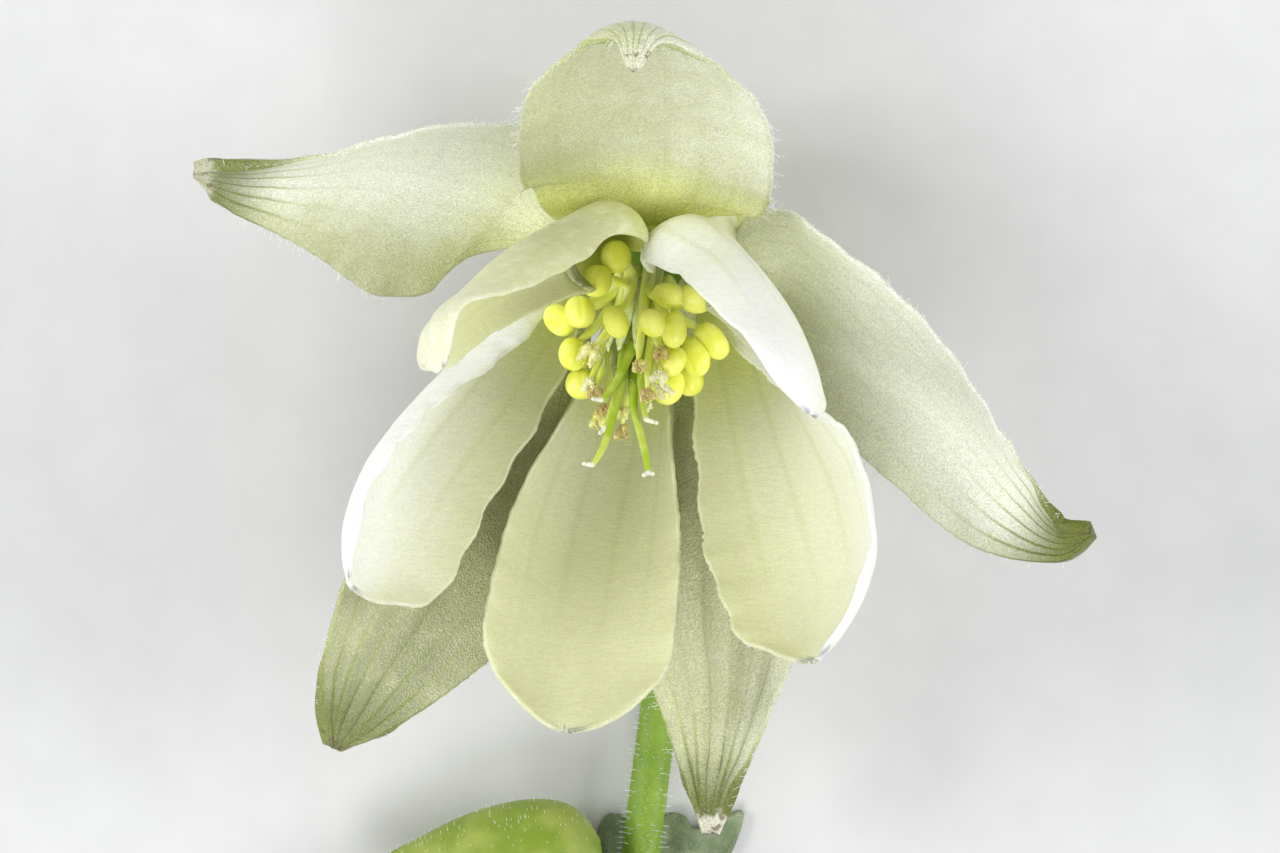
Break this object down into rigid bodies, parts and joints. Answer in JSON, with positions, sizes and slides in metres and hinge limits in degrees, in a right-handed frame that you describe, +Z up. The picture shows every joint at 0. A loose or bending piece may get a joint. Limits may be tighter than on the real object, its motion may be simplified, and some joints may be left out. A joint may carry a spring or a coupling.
{
  "type": "columbine plant",
  "caption": "Cut columbine stem lying on its back, with an open white spurred flower, a closed green bud and a small lobed bract.",
  "frame": {"origin": "under the middle of the part, on the surface it lies on", "axes": "+Y from the cut end of the stem to the top sepal, +Z up from the surface toward the viewer, +X to the viewer's right"},
  "size_m": [0.04, 0.0644, 0.0299],
  "materials": {
    "stem_green": "hairy green stem",
    "bud_green": "soft yellow-green bud",
    "bract_green": "matt grey-green leaf",
    "sepal_white": "greenish white, granular and faintly sparkling",
    "petal_white": "creamy white and smooth",
    "anther_lemon": "smooth lemon yellow",
    "anther_tan": "granular cream and tan",
    "staminode_pale": "pale and translucent",
    "carpel_green": "hairy green"
  },
  "bodies": {
    "root": {"stem": "stem_green", "bud": "bud_green", "bract": "bract_green", "sepal_top": "sepal_white", "sepal_left": "sepal_white", "sepal_right": "sepal_white", "sepal_lower_left": "sepal_white", "sepal_bottom": "sepal_white", "petal_upper_left": "petal_white", "petal_lower_left": "petal_white", "petal_bottom": "petal_white", "petal_lower_right": "petal_white", "petal_upper_right": "petal_white", "stamens_plump": "anther_lemon", "stamens_open": "anther_tan", "staminodes": "staminode_pale", "pistils": "carpel_green"}
  },
  "joints": []
}
